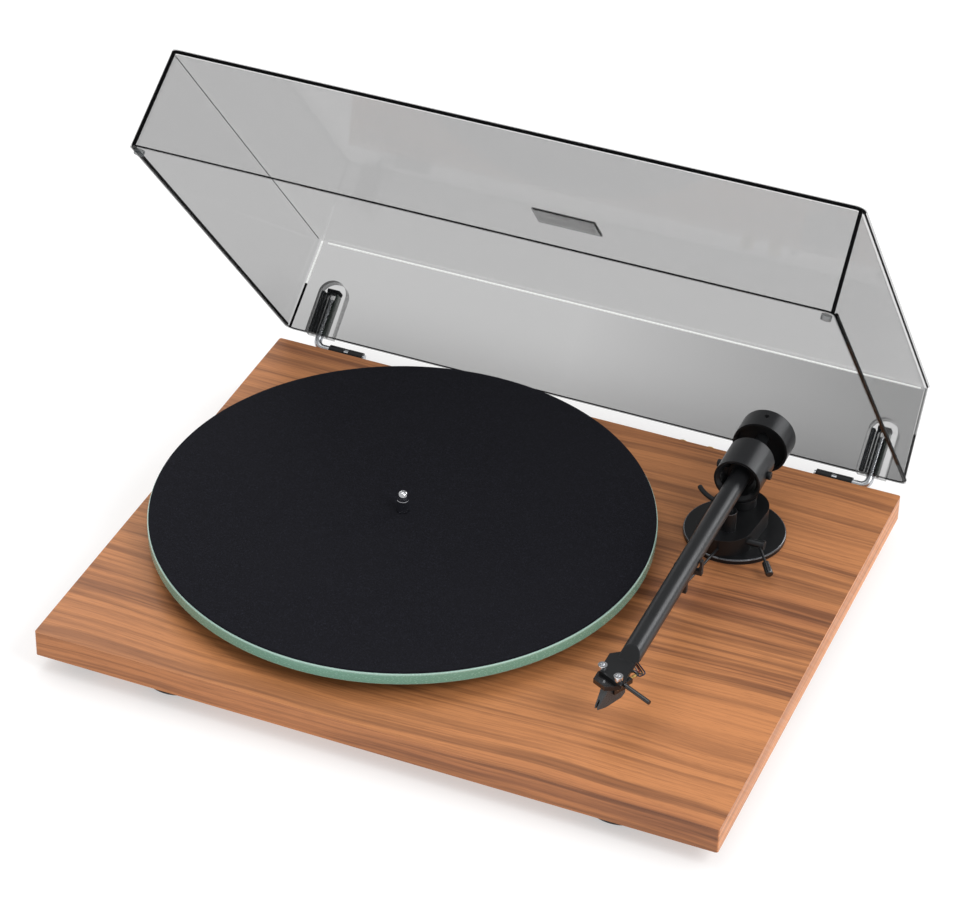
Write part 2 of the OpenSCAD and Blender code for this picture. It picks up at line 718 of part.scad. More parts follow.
// Everything ahead of the tube's front end: a slope above the headshell, a square cut below it.
module ahead_of_tube() {
  ye = pivot_y - tube_len;
  translate([pivot_x - 15, ye, axis_z]) rotate([end_slope, 0, 0])
    translate([0, -25, 0]) cube([30, 60, 40]);
  translate([pivot_x - 15, ye - 36, shell_z - 20]) cube([30, 40, 20 + shell_t]);
}

module arm_tube() {
  color("#3A3C40") difference() {
    translate([pivot_x, pivot_y + 6, axis_z]) rotate([90, 0, 0]) cylinder(r = tube_r, h = tube_len + 12);
    translate([pivot_x, pivot_y + 7, axis_z]) rotate([90, 0, 0])
      cylinder(r = tube_in, h = tube_len + 14);
    ahead_of_tube();
    shell_plate();
  }
}

module weight_rod() {
  color("#4A4C50") {
    translate([pivot_x, pivot_y - 4, axis_z]) rotate([-90, 0, 0]) cylinder(r = tube_in, h = 10);
    translate([pivot_x, pivot_y + 6 - e, axis_z]) rotate([-90, 0, 0]) cylinder(r = wrod_r, h = 38.5);
  }
}

module counterweight() {
  color("#232426") difference() {
    translate([pivot_x, weight_y, weight_z]) rotate([-90, 0, 0]) cylinder(r = weight_r, h = weight_len);
    translate([pivot_x, weight_y - 1, weight_z]) rotate([-90, 0, 0])
      cylinder(r = weight_r - 1.3, h = weight_len * 0.35 + 1);
    translate([pivot_x, weight_y - 1, axis_z]) rotate([-90, 0, 0])
      cylinder(r = wrod_r + run, h = weight_len + 2);
    translate([pivot_x, weight_y + weight_len * 0.6, axis_z + wrod_r - 1])
      cylinder(r = 1.5, h = 30);
  }
}

module weight_grub() {
  z0 = axis_z + wrod_r + 0.3;
  z1 = weight_z + weight_r - 0.6;
  color("#0F0F10") translate([pivot_x, weight_y + weight_len * 0.6, z0]) difference() {
    cylinder(r = 1.5, h = z1 - z0);
    translate([0, 0, z1 - z0 - 1.5]) cylinder(r = 0.85, h = 2, $fn = 6);
  }
}

// The headshell's own frame: origin midway between the cartridge screws, +V to the front.
module shell_frame() {
  translate([shell_x, shell_y, 0]) rotate([0, 0, -offset_deg]) children();
}

shell_x0 = pivot_x - 11.7;
shell_x1 = pivot_x + 4.4;

module shell_plate() {
  ye = pivot_y - tube_len;
  slope = tan(offset_deg);
  front = shell_y - 2 / cos(offset_deg);
  translate([0, 0, shell_z]) linear_extrude(shell_t)
    polygon([[pivot_x - 4.6, ye + 6.5], [shell_x0, ye + 1.2],
      [shell_x0, front - (shell_x0 - shell_x) * slope], [shell_x1, front - (shell_x1 - shell_x) * slope],
      [shell_x1, ye + 6.5]]);
}

module headshell() {
  color("#141416") difference() {
    union() {
      shell_plate();
      difference() {
        translate([pivot_x, pivot_y - tube_len + 20, axis_z]) rotate([90, 0, 0])
          cylinder(r = tube_in, h = 40);
        ahead_of_tube();
      }
    }
    shell_frame() for (s = [-1, 1])
      translate([s * cart_pitch / 2, 0, shell_z - 1]) cylinder(r = 1.25, h = shell_t + 2);
  }
}

module finger_lift() {
  color("#18181A") translate([shell_x1, shell_y - 3.3, shell_z + 1.1]) rotate([0, 0, -26])
    rotate([0, 90, 0]) difference() {
      union() {
        translate([0, 0, -2]) cylinder(r = 1.05, h = 3);
        translate([0, 0, 1]) cylinder(r = 1.3, h = 19.5);
      }
      rotate([0, -90, 0]) rotate([0, 0, 26]) translate([-20, -20, -20]) cube([20, 40, 40]);
    }
}

module cartridge_screws() {
  color("#D4D4D6") shell_frame() for (s = [-1, 1])
    translate([s * cart_pitch / 2, 0, shell_z + shell_t]) difference() {
      union() {
        cylinder(r = 2.3, h = 1.1);
        translate([0, 0, 1]) cylinder(r = 2.65, h = 2.4);
        translate([0, 0, -6.2]) cylinder(r = 1.25, h = 6.3);
      }
      translate([0, 0, 2]) cylinder(r = 1.1, h = 2, $fn = 6);
    }
}

// The cartridge: a wide flange under the headshell and a narrower body below it.
module cartridge_body() {
  color("#131315") shell_frame() difference() {
    union() {
      translate([0, 0, shell_z - flange_t]) linear_extrude(flange_t)
        polygon([[-8.5, 9], [-8.5, -1.5], [-5.6, -7.5], [3.6, -7.5], [8.5, -0.8], [8.5, 9]]);
      translate([-cart_hw, -1, shell_z - cart_h]) cube([2 * cart_hw, 10, cart_h - flange_t + e]);
    }
    for (s = [-1, 1])
      translate([s * cart_pitch / 2, 0, shell_z - flange_t - 1]) cylinder(r = 1.25, h = flange_t + 2);
  }
}

module cartridge_pins() {
  color("#C9A45A") shell_frame() for (i = [-1.5, -0.5, 0.5, 1.5])
    translate([i * 4, 9, shell_z - 1.5]) rotate([-90, 0, 0]) cylinder(r = 0.6, h = 4);
}

module stylus() {
  z = shell_z - cart_h;
  top = shell_z - flange_t - 0.2;
  color("#5A5D60") shell_frame() translate([1, 0, 0]) {
    difference() {
      translate([2.5, 0, 0]) rotate([0, -90, 0]) linear_extrude(5)
        polygon([[z, 8.6], [z, -1], [top, -1], [top, -4.2], [z - 5.4, -10.2], [z - 7.2, -10.6],
          [z - 7.3, -6.4], [z - 6.2, 6], [z - 4, 8.6]]);
      translate([-0.6, -12, z - 10]) cube([1.2, 4, 8]);
      for (s = [-1, 1])
        translate([s * 2.5, -5, z - 10]) rotate([0, 0, -s * 12]) translate([s > 0 ? 0 : -4, -8, 0])
          cube([4, 8, 12]);
    }
    translate([0, -7, z - 6.5]) rotate([98, 0, 0]) cylinder(r = 0.3, h = 3);
  }
}

placed() plinth();
placed() bottom_cover();
placed() foot(-foot_xl, -foot_y);  // foot_front_left
placed() foot(foot_xr, -foot_y);  // foot_front_right
placed() foot(-foot_xl, foot_y);  // foot_rear_left
placed() foot(foot_xr, foot_y);  // foot_rear_right
placed() foot_screws();
placed() chassis_screws();
placed() bearing_housing();
placed() bearing_ball();
placed() spindle();
placed() sub_platter();
placed() glass_platter();
placed() felt_mat();
placed() drive_belt();
placed() motor();
placed() motor_plate();
placed() motor_shaft();
placed() motor_pulley();
placed() control_board();
placed() switch_housing();
placed() power_rocker();
placed() terminal_panel();
placed() phono_socket(64);  // phono_socket_left
placed() phono_socket(82);  // phono_socket_right
placed() ground_post();
placed() power_socket();
placed() hinge_bracket(-1);  // hinge_bracket_left
placed() hinge_bracket(1);  // hinge_bracket_right
placed() hinge_rod(-1);  // hinge_rod_left
placed() hinge_rod(1);  // hinge_rod_right
placed() dust_cover();
placed() hinge_socket(-1);  // hinge_socket_left
placed() hinge_socket(1);  // hinge_socket_right
placed() name_plate();
placed() lid_bumpers();
placed() arm_base();
placed() arm_block();
placed() arm_post();
placed() lift_column();
placed() lift_bar();
placed() lift_lever();
placed() lift_knob();
placed() armrest_rod();
placed() armrest_cradle();
placed() bearing_barrel();
placed() side_screws();
placed() pivot_block();
placed() arm_tube();
placed() weight_rod();
placed() counterweight();
placed() weight_grub();
placed() headshell();
placed() finger_lift();
placed() cartridge_screws();
placed() cartridge_body();
placed() cartridge_pins();
placed() stylus();
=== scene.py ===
"""Looks of the belt-drive record player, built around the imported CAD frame. Lengths are in metres, unless a
name or a comment says millimetres."""
import json
import math
import random

import bmesh
import bpy
from mathutils import Matrix, Vector

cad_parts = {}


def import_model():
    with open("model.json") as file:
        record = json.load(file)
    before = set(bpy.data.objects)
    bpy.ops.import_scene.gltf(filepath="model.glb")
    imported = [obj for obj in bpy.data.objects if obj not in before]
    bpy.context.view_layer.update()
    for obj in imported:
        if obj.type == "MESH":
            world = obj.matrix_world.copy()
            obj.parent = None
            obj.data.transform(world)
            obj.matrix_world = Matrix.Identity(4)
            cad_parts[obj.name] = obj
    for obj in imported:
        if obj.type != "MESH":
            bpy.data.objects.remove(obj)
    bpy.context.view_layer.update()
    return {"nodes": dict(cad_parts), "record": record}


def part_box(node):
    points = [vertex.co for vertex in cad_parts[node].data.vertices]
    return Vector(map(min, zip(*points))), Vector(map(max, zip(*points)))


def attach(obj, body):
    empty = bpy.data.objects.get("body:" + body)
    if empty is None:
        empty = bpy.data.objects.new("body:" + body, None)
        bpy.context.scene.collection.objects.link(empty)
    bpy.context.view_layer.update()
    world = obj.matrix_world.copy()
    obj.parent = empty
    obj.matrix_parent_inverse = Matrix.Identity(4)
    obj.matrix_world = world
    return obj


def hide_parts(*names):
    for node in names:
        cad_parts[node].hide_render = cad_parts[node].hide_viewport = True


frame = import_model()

MM = 0.001
SCENE = bpy.context.scene
RECORD = frame["record"]
BODY_OF = {n: b for b, nodes in RECORD["behaviour"]["bodies"].items() for n in nodes}
SLOTS = {p["node"]: p["material_slot"] for p in RECORD["subparts"]}

# sizes and places of the CAD model, in the plinth's own millimetres
SHIFT_Y = -28.858  # from the plinth's own centre to the frame's origin
PLINTH_D = 327.2
TOP_Z = 28.0  # the plinth's top
PIVOT_X, PIVOT_Y = 127.5, 98.7  # the arm's pivot
AXIS_Z = TOP_Z + 39.5  # the arm tube's axis
TUBE_LEN = 193.0
SHELL_X, SHELL_Y = PIVOT_X - 4.6, PIVOT_Y - TUBE_LEN - 16.1  # midway between the cartridge screws
SHELL_Z = AXIS_Z - 2.6  # the headshell plate's underside
SHELL_TURN = math.radians(26.4)
LID_OPEN = math.radians(51.06)
HINGE_Y, HINGE_Z = PLINTH_D / 2 + 5.9, TOP_Z - 4.3
LID_W, LID_D, LID_H = 416.0, 318.4, 61.6
RIM_Z = 7.2  # the lid's rim, above its hinge line
LID_DRAFT, LID_R, LID_T = 2.7, 6.0, 2.4  # walls' lean, corners' radius, walls' thickness


# ---------------------------------------------------------------- places

def at(x, y, z):
    """A point in the plinth's own millimetres, as a place in the frame."""
    return Vector((x * MM, (y + SHIFT_Y) * MM, z * MM))


def on_lid(x, y, z):
    """A point in the lid's own millimetres from its hinge line, with the lid open as it stands at rest."""
    c, s = math.cos(LID_OPEN), math.sin(LID_OPEN)
    return at(x, HINGE_Y + y * c + z * s, HINGE_Z - y * s + z * c)


def on_shell(u, v, z):
    """A point in the headshell's turned frame, millimetres."""
    c, s = math.cos(SHELL_TURN), math.sin(SHELL_TURN)
    return at(SHELL_X + u * c + v * s, SHELL_Y - u * s + v * c, z)


# ---------------------------------------------------------------- materials

class Tree:
    """Small helper that adds and links shader nodes of one material."""

    def __init__(self, name):
        self.mat = bpy.data.materials.new(name)
        self.mat.use_nodes = True
        self.nt = self.mat.node_tree
        self.bsdf = self.nt.nodes["Principled BSDF"]

    def node(self, kind, inputs=None, **props):
        n = self.nt.nodes.new(kind)
        for k, v in props.items():
            setattr(n, k, v)
        for k, v in (inputs or {}).items():
            self.put(n.inputs[k], v)
        return n

    def put(self, socket, value):
        if isinstance(value, bpy.types.NodeSocket):
            self.nt.links.new(value, socket)
        else:
            socket.default_value = value

    def set(self, **sockets):
        for k, v in sockets.items():
            self.put(self.bsdf.inputs[k.replace("_", " ")], v)

    def place(self):
        return self.node("ShaderNodeTexCoord").outputs["Object"]

    def stretch(self, vector, scale):
        return self.node("ShaderNodeVectorMath", {0: vector, 1: scale}, operation="MULTIPLY").outputs[0]

    def noise(self, vector, scale, detail=3.0, rough=0.5, distortion=0.0):
        n = self.node("ShaderNodeTexNoise", {"Vector": vector, "Scale": scale, "Detail": detail,
                                             "Roughness": rough, "Distortion": distortion})
        return n.outputs["Fac"]

    def ramp(self, value, stops, smooth=False):
        n = self.node("ShaderNodeValToRGB", {"Fac": value})
        r = n.color_ramp
        if smooth:
            r.interpolation = "EASE"
        while len(r.elements) < len(stops):
            r.elements.new(0.5)
        for e, (p, c) in zip(r.elements, stops):
            e.position = p
            e.color = c
        return n.outputs["Color"]

    def mix(self, fac, a, b, mode="MIX"):
        n = self.node("ShaderNodeMix", data_type="RGBA", blend_type=mode)
        self.put(n.inputs[0], fac)
        self.put(n.inputs[6], a)
        self.put(n.inputs[7], b)
        return n.outputs[2]

    def math(self, op, a, b=0.0, clamp=False):
        return self.node("ShaderNodeMath", {0: a, 1: b}, operation=op, use_clamp=clamp).outputs[0]

    def span(self, value, low, high, out_low, out_high):
        return self.node("ShaderNodeMapRange", {"Value": value, "From Min": low, "From Max": high,
                                                "To Min": out_low, "To Max": out_high}).outputs[0]

    def bump(self, height, strength, distance):
        n = self.node("ShaderNodeBump", {"Height": height, "Strength": strength, "Distance": distance})
        return n.outputs["Normal"]


def srgb(code):
    """A colour written as six hexadecimal digits, as a linear colour."""
    out = []
    for i in (0, 2, 4):
        v = int(code[i:i + 2], 16) / 255
        out.append(v / 12.92 if v <= 0.04045 else ((v + 0.055) / 1.055) ** 2.4)
    return (*out, 1)


def shade(color, k):
    return (*[min(1.0, c * k) for c in color[:3]], 1)


def painted(name, code, rough=0.4, metal=0.0, grain=1500, spread=0.25, bump=0.15, depth=0.00004, **more):
    """A moulded, painted or bare metal surface: fine grain in colour, gloss and relief, with soft blotches."""
    t = Tree(name)
    p = t.place()
    fine, broad = t.noise(p, grain, 4, 0.6), t.noise(p, 45, 2)
    c = srgb(code)
    color = t.mix(t.span(fine, 0.3, 0.7, 0, 1), shade(c, 1 - spread), shade(c, 1 + spread))
    color = t.mix(t.span(broad, 0.35, 0.7, 0, 0.35), color, shade(c, 1.15))
    t.set(Base_Color=color, Metallic=metal)
    t.set(Roughness=t.math("ADD", t.span(fine, 0.3, 0.7, rough - 0.05, rough + 0.06),
                           t.span(broad, 0.4, 0.7, 0.0, 0.04)))
    t.set(Normal=t.bump(fine, bump, depth))
    t.set(**more)
    return t.mat


def turned_metal(name, code, rough):
    """Bare metal with fine turned rings, one above the other along Z."""
    t = Tree(name)
    p = t.place()
    rings = t.noise(t.stretch(p, (60.0, 60.0, 9000.0)), 1.0, 2)
    smudge = t.noise(p, 160, 3)
    c = srgb(code)
    t.set(Base_Color=t.mix(t.span(smudge, 0.35, 0.7, 0, 1), shade(c, 0.93), shade(c, 1.05)), Metallic=1.0)
    t.set(Roughness=t.math("ADD", t.span(rings, 0.3, 0.7, rough - 0.04, rough + 0.06),
                           t.span(smudge, 0.4, 0.7, 0, 0.05)))
    t.set(Normal=t.bump(rings, 0.12, 0.00002))
    return t.mat


def walnut_material():
    """Veneer with the grain along X on the top, front and rear, and along Y on the two ends. The ends are a
    paler copy of it, painted light, and the front and rear a warmer, slightly darker copy, painted shade.
    """
    t = Tree("walnut_veneer")
    p = t.place()
    x, y, z = t.node("ShaderNodeSeparateXYZ", {0: p}).outputs
    normal = t.node("ShaderNodeSeparateXYZ", {0: t.node("ShaderNodeNewGeometry").outputs["Normal"]})
    end = t.span(t.math("ABSOLUTE", normal.outputs[0]), 0.55, 0.8, 0, 1)
    upright = t.span(t.math("ABSOLUTE", normal.outputs[2]), 0.45, 0.75, 1, 0)

    def veneer(along, across, seed, light, middle, dark):
        # slow waves carry the streaks a little sideways
        sway = t.noise(t.node("ShaderNodeCombineXYZ", {0: t.math("MULTIPLY", along, 3.2), 1: seed,
                                                       2: t.math("MULTIPLY", across, 5.0)}).outputs[0], 1.0, 2)
        c = t.math("ADD", across, t.span(sway, 0, 1, -0.016, 0.016))

        def layer(fa, fc, detail, rough, off):
            v = t.node("ShaderNodeCombineXYZ", {0: t.math("MULTIPLY", along, fa),
                                                1: t.math("MULTIPLY", c, fc), 2: seed + off}).outputs[0]
            return t.noise(v, 1.0, detail, rough)

        # from broad to fine: tone, dark streaks, thin dark lines, open pores
        bands = layer(1.3, 24.0, 3, 0.55, 0.0)
        streaks = layer(3.2, 105.0, 4, 0.60, 11.0)
        lines = layer(6.0, 420.0, 3, 0.6, 23.0)
        pores = layer(95.0, 2600.0, 2, 0.6, 37.0)
        color = t.ramp(bands, [(0.30, middle), (0.50, light), (0.72, shade(light, 1.10))], True)
        dark_mask = t.math("MULTIPLY", t.span(streaks, 0.46, 0.60, 0, 1), t.span(bands, 0.66, 0.36, 0.22, 1.0))
        color = t.mix(t.math("MULTIPLY", dark_mask, 0.9, True), color, dark)
        deep = t.math("MULTIPLY", t.span(lines, 0.47, 0.63, 0, 1), t.span(bands, 0.70, 0.38, 0.32, 1.0))
        color = t.mix(t.math("MULTIPLY", deep, 0.55, True), color, shade(dark, 0.8))
        color = t.mix(t.span(pores, 0.52, 0.75, 0, 0.34), color, shade(dark, 0.55))
        return color, pores, lines

    # the ends' paler tones are painted light, where the lamp falls on them
    side, side_pores, _ = veneer(y, z, 5.3, srgb("E09A66"), srgb("D08A58"), srgb("A8693F"))
    # the front's veneer is the same leaf folded over the edge, so its across runs on from the top's
    top, pores, lines = veneer(x, t.math("ADD", y, z), 1.7, srgb("BF7F50"), srgb("A66A45"), srgb("6B422C"))
    color = t.mix(end, top, side)
    # upright faces, the ends left out, get a warmer, slightly darker tone: painted shade
    color = t.mix(t.math("MULTIPLY", upright, t.math("SUBTRACT", 1.0, end)), color,
                  t.mix(1.0, color, (1.02, 0.97, 0.93, 1), "MULTIPLY"))
    relief = t.mix(end, pores, side_pores)
    t.set(Base_Color=color, Roughness=t.span(lines, 0.3, 0.7, 0.36, 0.5), Specular_IOR_Level=0.3)
    t.set(Coat_Weight=0.08, Coat_Roughness=0.35)
    t.set(Normal=t.bump(relief, 0.22, 0.00006))
    return t.mat


def acrylic(name, alpha, glancing, tint="17191A", rough=0.04, painted_shade_ramp=None):
    """Smoke-tinted clear plastic: it passes most light straight on, and looks denser at a glancing angle.
    The last argument, (from x, to x, added), deepens the tint across the width: painted shade."""
    t = Tree(name)
    facing = t.node("ShaderNodeLayerWeight", {"Blend": 0.35}).outputs["Fresnel"]
    haze = t.noise(t.place(), 240, 3)
    scratch = t.noise(t.stretch(t.place(), (900.0, 70.0, 500.0)), 1.0, 2)
    t.set(Base_Color=t.mix(t.span(haze, 0.3, 0.7, 0, 1), shade(srgb(tint), 0.9), shade(srgb(tint), 1.15)))
    density = t.math("ADD", t.math("MULTIPLY", facing, glancing), alpha, True)
    if painted_shade_ramp:
        start, end, added = painted_shade_ramp
        x = t.node("ShaderNodeSeparateXYZ", {0: t.place()}).outputs[0]
        density = t.math("ADD", density, t.span(x, start, end, 0, added), True)
    t.set(Alpha=density)
    t.set(Roughness=t.span(scratch, 0.3, 0.8, rough, rough + 0.05), IOR=1.49, Specular_IOR_Level=0.08)
    return t.mat


def felt_material():
    """Pressed felt: matted short fibres, seen as a fine speckle and a soft nap."""
    t = Tree("felt_black")
    p = t.place()
    fibre_a = t.noise(t.stretch(p, (2600.0, 900.0, 900.0)), 1.0, 4, 0.65, 1.2)
    fibre_b = t.noise(t.stretch(p, (900.0, 2600.0, 900.0)), 1.0, 4, 0.65, 1.2)
    fibres = t.math("MAXIMUM", fibre_a, fibre_b)
    nap = t.noise(p, 130, 4, 0.6)
    worn = t.noise(p, 16, 2)
    color = t.ramp(fibres, [(0.42, srgb("050508")), (0.56, srgb("0E0E13")), (0.70, srgb("2A2B35"))])
    color = t.mix(t.span(nap, 0.35, 0.7, 0, 0.5), color, srgb("0C0C11"))
    color = t.mix(t.span(worn, 0.45, 0.65, 0, 0.25), color, srgb("131318"))
    t.set(Base_Color=color, Roughness=0.97, Sheen_Weight=0.08, Sheen_Roughness=0.5, Specular_IOR_Level=0.15)
    t.set(Sheen_Tint=srgb("8C90A6"))
    t.set(Normal=t.bump(t.math("ADD", fibres, t.math("MULTIPLY", nap, 0.6)), 0.7, 0.00022))
    return t.mat


def glass_material():
    """Thick float glass with a satin-ground rim: sea green, paler along the rim's two edges."""
    t = Tree("platter_glass")
    p = t.place()
    grind = t.noise(t.stretch(p, (700.0, 700.0, 2600.0)), 1.0, 3)
    depth = t.node("ShaderNodeSeparateXYZ", {0: p}).outputs[2]
    foot, brow = 0.0377, 0.0452  # heights between which the rim's tone changes
    core = t.span(depth, foot, brow, 0, 1)
    tones = [(0.0, srgb("A8D2C2")), (0.14, srgb("7DB5A2")), (0.8, srgb("84BBA8")), (1.0, srgb("C4E4D8"))]
    rim = t.ramp(core, tones)
    color = t.mix(t.span(grind, 0.35, 0.65, 0, 0.15), rim, srgb("95C6B4"))
    t.set(Base_Color=color, Roughness=t.span(grind, 0.3, 0.7, 0.18, 0.3), IOR=1.52)
    t.set(Transmission_Weight=0.2, Coat_Weight=0.25, Coat_Roughness=0.15)
    t.set(Normal=t.bump(grind, 0.04, 0.00002))
    return t.mat


def board_material():
    """Printed circuit board: green mask over faint copper tracks."""
    t = Tree("circuit_board")
    p = t.place()
    tracks = t.node("ShaderNodeTexBrick", {"Vector": p, "Scale": 160.0, "Mortar Size": 0.06,
                                           "Color1": srgb("1F5A37"), "Color2": srgb("246340"),
                                           "Mortar": srgb("3C8A58")}).outputs["Color"]
    t.set(Base_Color=t.mix(t.span(t.noise(p, 900, 3), 0.3, 0.7, 0, 0.4), tracks, srgb("1B4D30")))
    t.set(Roughness=t.span(t.noise(p, 500, 2), 0.3, 0.7, 0.3, 0.45), Coat_Weight=0.3)
    return t.mat


MATS = {
    "walnut": walnut_material(),
    "foot_rubber": painted("foot_rubber", "161617", 0.62, spread=0.3, bump=0.3, depth=0.00008),
    "black_plastic": painted("black_plastic", "1A1A1C", 0.45, spread=0.25, bump=0.25),
    "gloss_black": painted("gloss_black", "101012", 0.22, spread=0.12, bump=0.05, Coat_Weight=0.4),
    "black_metal": painted("black_metal", "151618", 0.36, metal=0.35, grain=2600, spread=0.22, bump=0.14),
    "tube_metal": painted("tube_metal", "2A2B2D", 0.30, metal=0.55, grain=3000, spread=0.15, bump=0.08),
    "grey_metal": painted("grey_metal", "8E9094", 0.35, metal=0.9, spread=0.1, bump=0.08),
    "steel": turned_metal("steel", "C2C5C9", 0.24),
    "chrome": turned_metal("chrome", "DCDDE0", 0.12),
    "brass": turned_metal("brass", "C9A867", 0.25),
    "platter_glass": glass_material(),
    "felt": felt_material(),
    "clear_acrylic": acrylic("clear_acrylic", 0.315, 0.12),
    # the cover's acrylic again: darker towards the right on the rear wall, painted shade, and nearly clear on
    # the front and right walls, painted light
    "acrylic_rear_painted_shade": acrylic("acrylic_rear_painted_shade", 0.335, 0.12, painted_shade_ramp=(-0.02, 0.2, 0.19)),
    "acrylic_painted_light": acrylic("acrylic_painted_light", 0.025, 0.10),
    "clear_rubber": acrylic("clear_rubber", 0.35, 0.35, "5A5E60", 0.3),
    "belt_rubber": painted("belt_rubber", "1C1B1A", 0.7, spread=0.2, bump=0.3),
    "board": board_material(),
    "smoke_plastic": painted("smoke_plastic", "3E4042", 0.28, spread=0.2, bump=0.08),
    # dark lines, grey lines and a white glowing line on the cover's edges, and the bosses' dark caps: painted
    # shade and painted highlights
    "painted_shade_black": painted("painted_shade_black", "050506", 0.7, spread=0.2, bump=0.02, Specular_IOR_Level=0.05),
    "lid_edge_painted_grey_highlight": painted("lid_edge_painted_grey_highlight", "6E706F", 0.3, spread=0.1, bump=0.02),
    "lid_edge_painted_highlight": painted("lid_edge_painted_highlight", "E6E8E6", 0.3, spread=0.05, bump=0.02,
                          Emission_Color=(0.9, 0.92, 0.9, 1), Emission_Strength=0.9),
    # a lighter grey for the arm's eased edges: painted highlight
    "polished_edge": painted("polished_edge", "77797D", 0.25, metal=0.7, spread=0.15, bump=0.05),
    # dark slabs inside the hinge bosses: painted shade
    "boss_painted_shade_smoke": painted("boss_painted_shade_smoke", "1B1E22", 0.2, spread=0.3, bump=0.05),
    "boss_painted_shade_green": painted("boss_painted_shade_green", "2C3A30", 0.25, spread=0.3, bump=0.05),
    "boss_clear": acrylic("boss_clear", 0.26, 0.55, "303234", 0.05),
}


# ---------------------------------------------------------------- pieces

def add(name, mesh, material, body, slot, *others):
    """A finished mesh as a piece that rides on body, in material. slot is not used.
    Where there are others, its faces keep their material numbers: 0 is material, and others follow it."""
    numbers = [p.material_index for p in mesh.polygons]
    o = bpy.data.objects.new(name, mesh)
    SCENE.collection.objects.link(o)
    mesh.materials.clear()
    for word in (material, *others):
        mesh.materials.append(MATS[word])
    if others:
        for p, number in zip(mesh.polygons, numbers):
            p.material_index = number
    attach(o, body)
    return o


def soften(mesh, angle=32):
    mesh.shade_smooth()
    mesh.set_sharp_from_angle(angle=math.radians(angle))


def made(name, bm, angle=32):
    """bm as a mesh, its edges kept sharp above angle degrees."""
    mesh = bpy.data.meshes.new(name)
    bm.to_mesh(mesh)
    bm.free()
    soften(mesh, angle)
    return mesh


def cad_copy(node, flat):
    """A copy of a CAD node's mesh, and a bmesh of it that joins faces within flat degrees of each other."""
    mesh = frame["nodes"][node].data.copy()
    bm = bmesh.new()
    bm.from_mesh(mesh)
    bmesh.ops.remove_doubles(bm, verts=bm.verts, dist=2e-6)
    bmesh.ops.dissolve_limit(bm, angle_limit=math.radians(flat), verts=bm.verts, edges=bm.edges)
    return mesh, bm


def bevelled(node, material, width_mm, edge=None):
    """The CAD node's own shape with its sharp edges eased, so that they catch the light. It stands for the
    node. edge names a lighter material for those eased edges, a painted highlight."""
    mesh, bm = cad_copy(node, 0.6)
    limit = math.radians(28)
    sharp = [e for e in bm.edges if len(e.link_faces) == 2 and e.calc_face_angle(0) > limit]
    bmesh.ops.bevel(bm, geom=sharp, offset=width_mm * MM, offset_type="OFFSET", segments=2,
                    profile=0.5, affect="EDGES", clamp_overlap=True, material=1 if edge else -1)
    bm.to_mesh(mesh)
    bm.free()
    soften(mesh)
    o = add(node + "_finish", mesh, material, BODY_OF[node], SLOTS[node], *([edge] if edge else []))
    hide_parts(node)
    o.modifiers.new("weighted", "WEIGHTED_NORMAL").keep_sharp = True


def frames_along(points):
    """Each point of a path with two steady directions across the path there."""
    out, side = [], None
    for i, p in enumerate(points):
        a, b = points[max(i - 1, 0)], points[min(i + 1, len(points) - 1)]
        t = (b - a).normalized()
        if side is None:
            side = t.orthogonal().normalized()
        side = (side - t * side.dot(t)).normalized()
        out.append((p, side.copy(), t.cross(side)))
    return out


def circle(bm, centre, u, v, radius_mm, steps):
    """A ring of vertices round centre, in the plane of u and v."""
    turns = (2 * math.pi * j / steps for j in range(steps))
    return [bm.verts.new(centre + (u * math.cos(a) + v * math.sin(a)) * radius_mm * MM) for a in turns]


def bridge(bm, a, b):
    """Quads between two rings of as many vertices."""
    for j in range(len(a)):
        k = (j + 1) % len(a)
        bm.faces.new((a[j], a[k], b[k], b[j]))


def tube(name, points, radius_mm, material, body, slot, sides):
    """A round rod or wire along a path, its ends domed."""
    shrink, rise = 0.6, 0.35  # a dome's flat end and its height, as shares of the radius
    bm = bmesh.new()
    path = frames_along(points)
    rings = [circle(bm, p, u, v, radius_mm, sides) for p, u, v in path]
    for a, b in zip(rings, rings[1:]):
        bridge(bm, a, b)
    for ring, (p, u, v), sign in ((rings[0], path[0], -1), (rings[-1], path[-1], 1)):
        out = u.cross(v) * sign
        inner = [bm.verts.new(p + (w.co - p) * shrink + out * radius_mm * MM * rise) for w in ring]
        bridge(bm, ring, inner)
        bm.faces.new(inner)
    bmesh.ops.recalc_face_normals(bm, faces=bm.faces)
    return add(name, made(name, bm, 40), material, body, slot)


def revolve(name, profile, centre, axis, material, body, slot, steps):
    """A turned piece. profile is (radius, height) in mm about axis through centre, and has both ends on it."""
    bm = bmesh.new()
    axis = axis.normalized()
    u = axis.orthogonal().normalized()
    v = axis.cross(u)
    first, *rings, last = [circle(bm, centre + axis * h * MM, u, v, r, steps) if r else
                           bm.verts.new(centre + axis * h * MM) for r, h in profile]
    for a, b in zip(rings, rings[1:]):
        bridge(bm, a, b)
    for tip, ring in ((first, rings[0]), (last, rings[-1])):
        for j in range(steps):
            bm.faces.new((tip, ring[(j + 1) % steps], ring[j]))
    bmesh.ops.recalc_face_normals(bm, faces=bm.faces)
    return add(name, made(name, bm, 30), material, body, slot)


def smooth_path(points):
    """A smooth path through the points (Catmull-Rom)."""
    steps = 10
    p = [points[0] * 2 - points[1], *points, points[-1] * 2 - points[-2]]
    out = []
    for a, b, c, d in zip(p, p[1:], p[2:], p[3:]):
        for i in range(steps):
            t = i / steps
            out.append(0.5 * ((2 * b) + (c - a) * t + (2 * a - 5 * b + 4 * c - d) * t * t
                              + (3 * b - a - 3 * c + d) * t ** 3))
    return out + [points[-1]]
